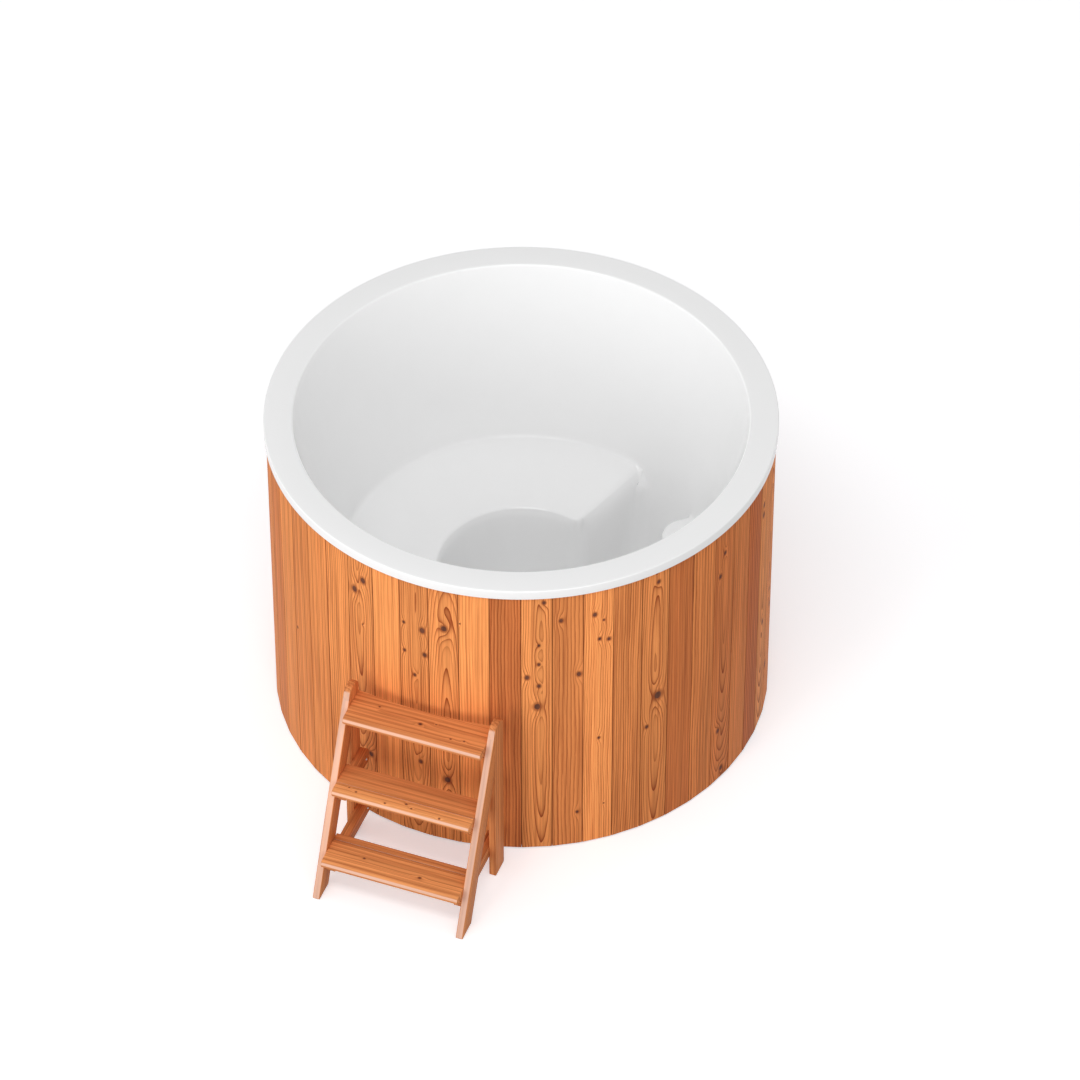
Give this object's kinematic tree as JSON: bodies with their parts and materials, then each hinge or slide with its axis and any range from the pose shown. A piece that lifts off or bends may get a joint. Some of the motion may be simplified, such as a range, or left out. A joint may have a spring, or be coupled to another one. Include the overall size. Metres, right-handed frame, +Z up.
{
  "type": "cold plunge tub",
  "caption": "Round cold plunge tub with a white moulded liner, timber stave cladding, a free-standing step ladder and a drain valve.",
  "frame": {"origin": "on the tub axis at the floor, at the underside of the middle base pad", "axes": "+Z up along the tub axis, -Y towards the ladder, +Y towards the drain valve"},
  "size_m": [1.511, 1.9894, 1.0555],
  "materials": {
    "acrylic": "gloss",
    "cladding": "oiled",
    "ladder_timber": "oiled",
    "plywood": "raw",
    "joist_timber": "raw",
    "rubber": "matte",
    "foam": "matte",
    "steel": "brushed",
    "brass": "satin",
    "drain_plastic": "satin",
    "grip_plastic": "satin"
  },
  "bodies": {
    "tub": {"liner": "acrylic", "rim_tape": "rubber", "staves_front_right": "cladding", "staves_rear_right": "cladding", "staves_rear_left": "cladding", "staves_front_left": "cladding", "top_ring": "plywood", "middle_ring": "plywood", "lower_ring": "plywood", "upper_posts": "joist_timber", "lower_posts": "joist_timber", "base_plate": "plywood", "base_joists": "joist_timber", "base_pads": "rubber", "bench_props": "plywood", "insulation": "foam", "strainer_rim": "steel", "strainer_grate": "steel", "strainer_screw": "steel", "drain_gasket": "rubber", "drain_tail": "drain_plastic", "drain_locknut": "drain_plastic", "drain_elbow": "drain_plastic", "drain_pipe": "drain_plastic", "pipe_clips": "drain_plastic", "pipe_clip_screws": "steel", "wall_plate": "steel", "valve_body": "brass", "hose_tail": "brass"},
    "valve_handle": {"valve_ball": "steel", "valve_stem": "brass", "valve_lever": "steel", "lever_grip": "grip_plastic", "lever_nut": "steel"},
    "ladder": {"stringer_left": "ladder_timber", "stringer_right": "ladder_timber", "rear_leg_left": "ladder_timber", "rear_leg_right": "ladder_timber", "upper_tread": "ladder_timber", "middle_tread_front": "ladder_timber", "middle_tread_back": "ladder_timber", "lower_tread_front": "ladder_timber", "lower_tread_back": "ladder_timber", "upper_cleat_left": "ladder_timber", "upper_cleat_right": "ladder_timber", "middle_bearer_left": "ladder_timber", "middle_bearer_right": "ladder_timber", "lower_bearer_left": "ladder_timber", "lower_bearer_right": "ladder_timber", "bearer_screws": "steel", "stringer_screws": "steel"}
  },
  "joints": [
    {"name": "valve_turn", "type": "hinge", "parent": "tub", "child": "valve_handle", "pos_m": [0.13494, 0.79637, 0.036], "axis": [0, 0, 1], "range_deg": [0, 90]},
    {"name": "ladder_slide", "type": "slide", "parent": "tub", "child": "ladder", "axis": [0, -1, 0], "range_m": [0, 0.3]}
  ]
}
